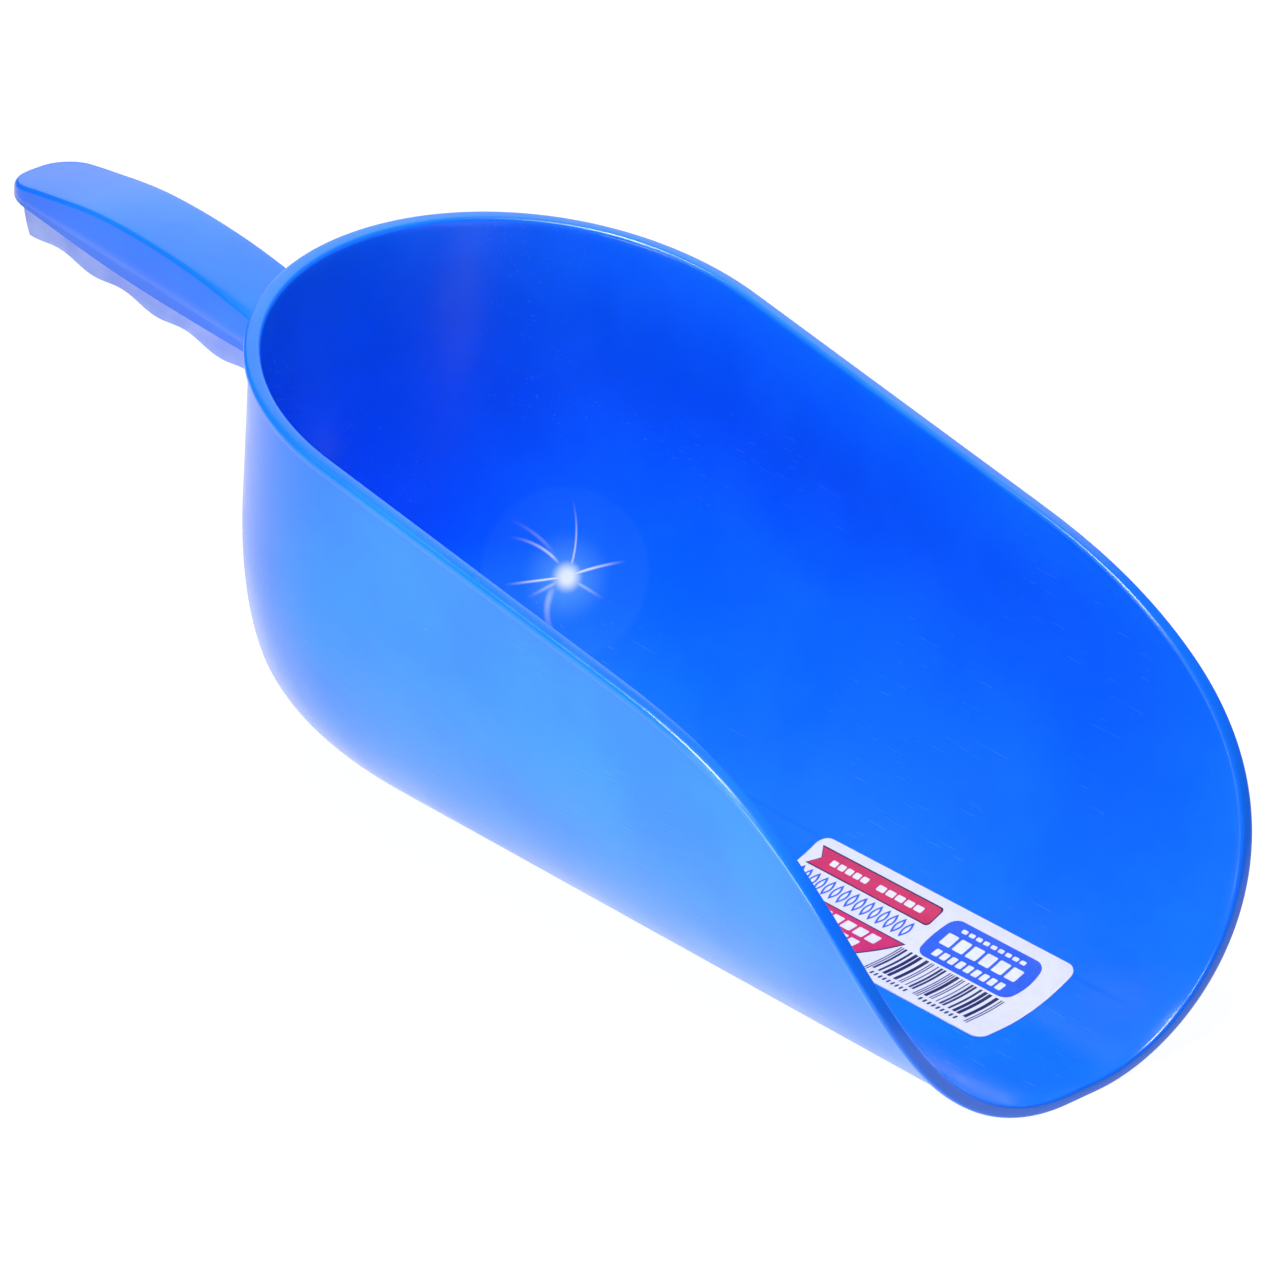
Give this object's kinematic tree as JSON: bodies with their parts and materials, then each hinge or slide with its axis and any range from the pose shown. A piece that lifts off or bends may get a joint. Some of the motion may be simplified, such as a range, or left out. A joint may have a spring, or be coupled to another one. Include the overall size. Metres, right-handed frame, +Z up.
{
  "type": "feed scoop",
  "caption": "Open scoop with a round bottom, a rounded back, a lipped rim that sweeps down to the mouth, and a gently arched hollow handle closed from below by a grip insert.",
  "frame": {"origin": "middle of the flat strip under the bowl, on the surface the scoop rests on", "axes": "+X out of the mouth, along the handle's line; +Z up out of the open top"},
  "size_m": [0.4071, 0.1598, 0.1356],
  "materials": {
    "body_plastic": "glossy blue moulded polypropylene",
    "grip_plastic": "satin pale blue moulded polypropylene",
    "label_film": "semi-gloss printed film"
  },
  "bodies": {
    "root": {"scoop_body": "body_plastic", "grip_insert": "grip_plastic", "label": "label_film"}
  },
  "joints": []
}
